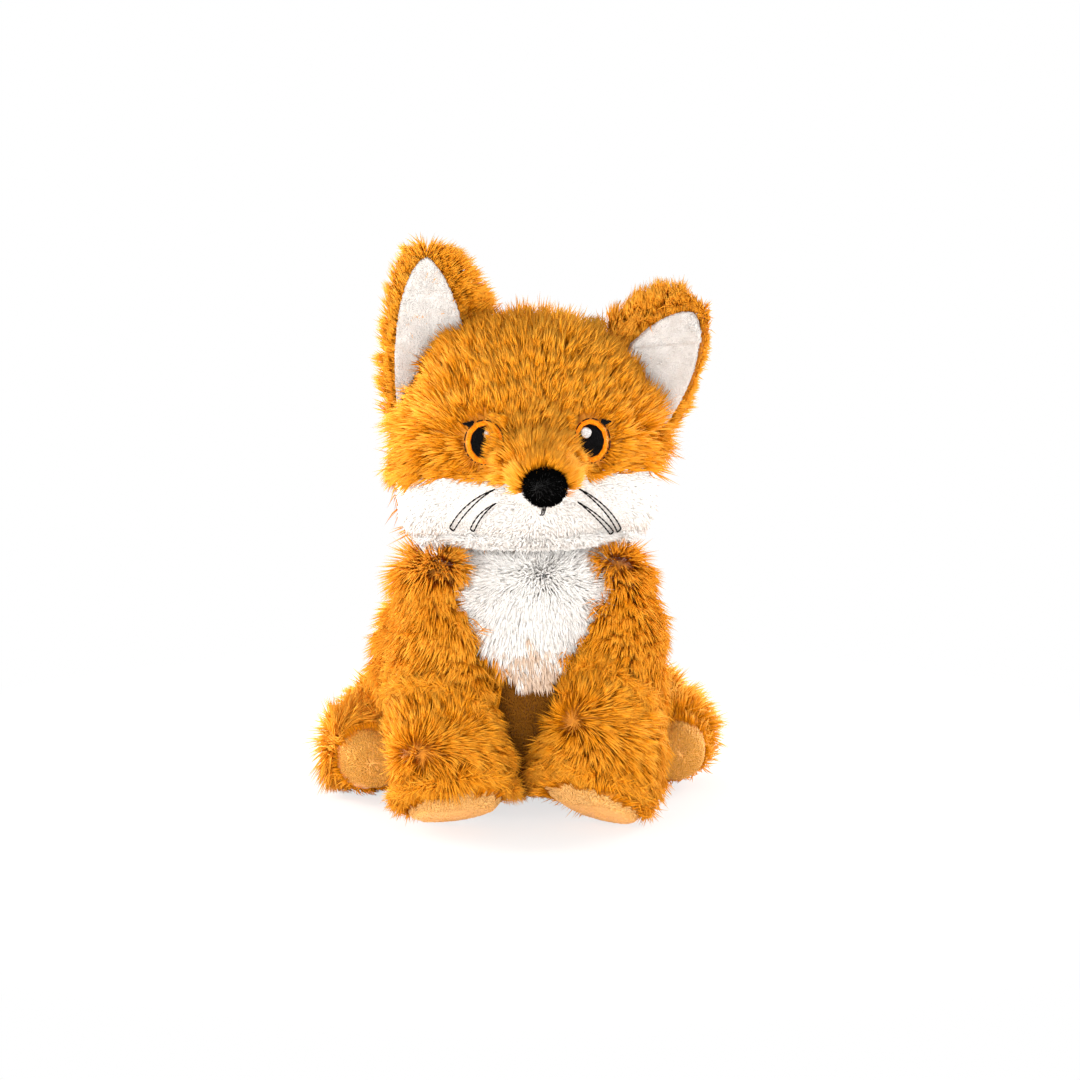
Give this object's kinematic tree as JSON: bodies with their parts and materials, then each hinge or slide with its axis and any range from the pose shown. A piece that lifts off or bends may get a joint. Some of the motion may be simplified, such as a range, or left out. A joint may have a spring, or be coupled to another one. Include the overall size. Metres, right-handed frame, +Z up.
{
  "type": "plush coyote",
  "caption": "Seated plush coyote with golden fur, a white lower face and bib, embroidered eyes and whiskers, an upright right ear and a flopped left ear.",
  "frame": {"origin": "on the floor under the middle of the seat, on the flat that the weight presses there", "axes": "+Z up; the toy faces -Y; +X is the toy's left side"},
  "size_m": [0.1432, 0.1692, 0.2038],
  "materials": {
    "gold_plush": "long-pile plush, matte",
    "white_plush": "plush, matte",
    "tan_velboa": "short-pile velboa, soft sheen",
    "brown_velboa": "short-pile velboa, soft sheen",
    "white_velboa": "short-pile velboa, soft sheen",
    "black_plush": "short plush, matte",
    "black_thread": "embroidery thread, satin",
    "orange_thread": "embroidery thread, satin",
    "white_thread": "embroidery thread, satin",
    "polyester_fibre": "loose fibre fill, matte",
    "pouch_cloth": "woven cloth, matte"
  },
  "bodies": {
    "torso": {"torso_skin": "gold_plush", "chest_bib": "white_plush", "belly_panel": "brown_velboa", "torso_stuffing": "polyester_fibre", "pellet_pouch": "pouch_cloth"},
    "neck": {"neck_plug": "gold_plush"},
    "head": {"head_skin": "gold_plush", "cheek_panel": "white_plush", "head_stuffing": "polyester_fibre", "muzzle_bridge": "gold_plush", "muzzle_chin": "white_plush", "muzzle_stuffing": "polyester_fibre", "nose": "black_plush", "mouth_stitch": "black_thread", "eye_ring_right": "orange_thread", "eye_pupil_right": "black_thread", "eye_glint_right": "white_thread", "eye_lash_right": "black_thread", "whisker_upper_right": "black_thread", "whisker_lower_right": "black_thread", "eye_ring_left": "orange_thread", "eye_pupil_left": "black_thread", "eye_glint_left": "white_thread", "eye_lash_left": "black_thread", "whisker_upper_left": "black_thread", "whisker_lower_left": "black_thread"},
    "ear_right": {"ear_back_right": "gold_plush", "ear_lining_right": "white_velboa"},
    "front_leg_right": {"front_leg_skin_right": "gold_plush", "front_pad_right": "tan_velboa", "front_leg_stuffing_right": "polyester_fibre"},
    "hind_leg_right": {"hind_leg_skin_right": "gold_plush", "hind_pad_right": "tan_velboa", "hind_leg_stuffing_right": "polyester_fibre"},
    "ear_left": {"ear_back_left": "gold_plush", "ear_lining_left": "white_velboa"},
    "front_leg_left": {"front_leg_skin_left": "gold_plush", "front_pad_left": "tan_velboa", "front_leg_stuffing_left": "polyester_fibre"},
    "hind_leg_left": {"hind_leg_skin_left": "gold_plush", "hind_pad_left": "tan_velboa", "hind_leg_stuffing_left": "polyester_fibre"},
    "tail": {"tail_skin": "gold_plush", "tail_tip": "white_plush", "tail_stuffing": "polyester_fibre"}
  },
  "joints": [
    {"name": "head_turn", "type": "hinge", "parent": "torso", "child": "neck", "pos_m": [0, 0.003, 0.093], "axis": [0, 0, 1], "range_deg": [-20, 20]},
    {"name": "head_nod", "type": "hinge", "parent": "neck", "child": "head", "pos_m": [0, 0.003, 0.093], "axis": [1, 0, 0], "range_deg": [-8, 8]},
    {"name": "ear_tilt_right", "type": "hinge", "parent": "head", "child": "ear_right", "pos_m": [-0.03724, 0.002, 0.1621], "axis": [0.6428, 0, 0.766], "range_deg": [-15, 15]},
    {"name": "front_leg_swing_right", "type": "hinge", "parent": "torso", "child": "front_leg_right", "pos_m": [-0.0325, -0.014, 0.0822], "axis": [-1, 0, 0], "range_deg": [0, 30]},
    {"name": "hind_leg_splay_right", "type": "hinge", "parent": "torso", "child": "hind_leg_right", "pos_m": [-0.03, 0.026, 0.04], "axis": [0, 0, -1], "range_deg": [0, 20]},
    {"name": "ear_tilt_left", "type": "hinge", "parent": "head", "child": "ear_left", "pos_m": [0.04207, 0.002, 0.15508], "axis": [-0.4977, 0, 0.8673], "range_deg": [-15, 15]},
    {"name": "front_leg_swing_left", "type": "hinge", "parent": "torso", "child": "front_leg_left", "pos_m": [0.0325, -0.014, 0.0822], "axis": [-1, 0, 0], "range_deg": [0, 30]},
    {"name": "hind_leg_splay_left", "type": "hinge", "parent": "torso", "child": "hind_leg_left", "pos_m": [0.03, 0.026, 0.04], "axis": [0, 0, 1], "range_deg": [0, 20]},
    {"name": "tail_wag", "type": "hinge", "parent": "torso", "child": "tail", "pos_m": [0, 0.044, 0.022], "axis": [0, 0, 1], "range_deg": [-25, 25]}
  ]
}
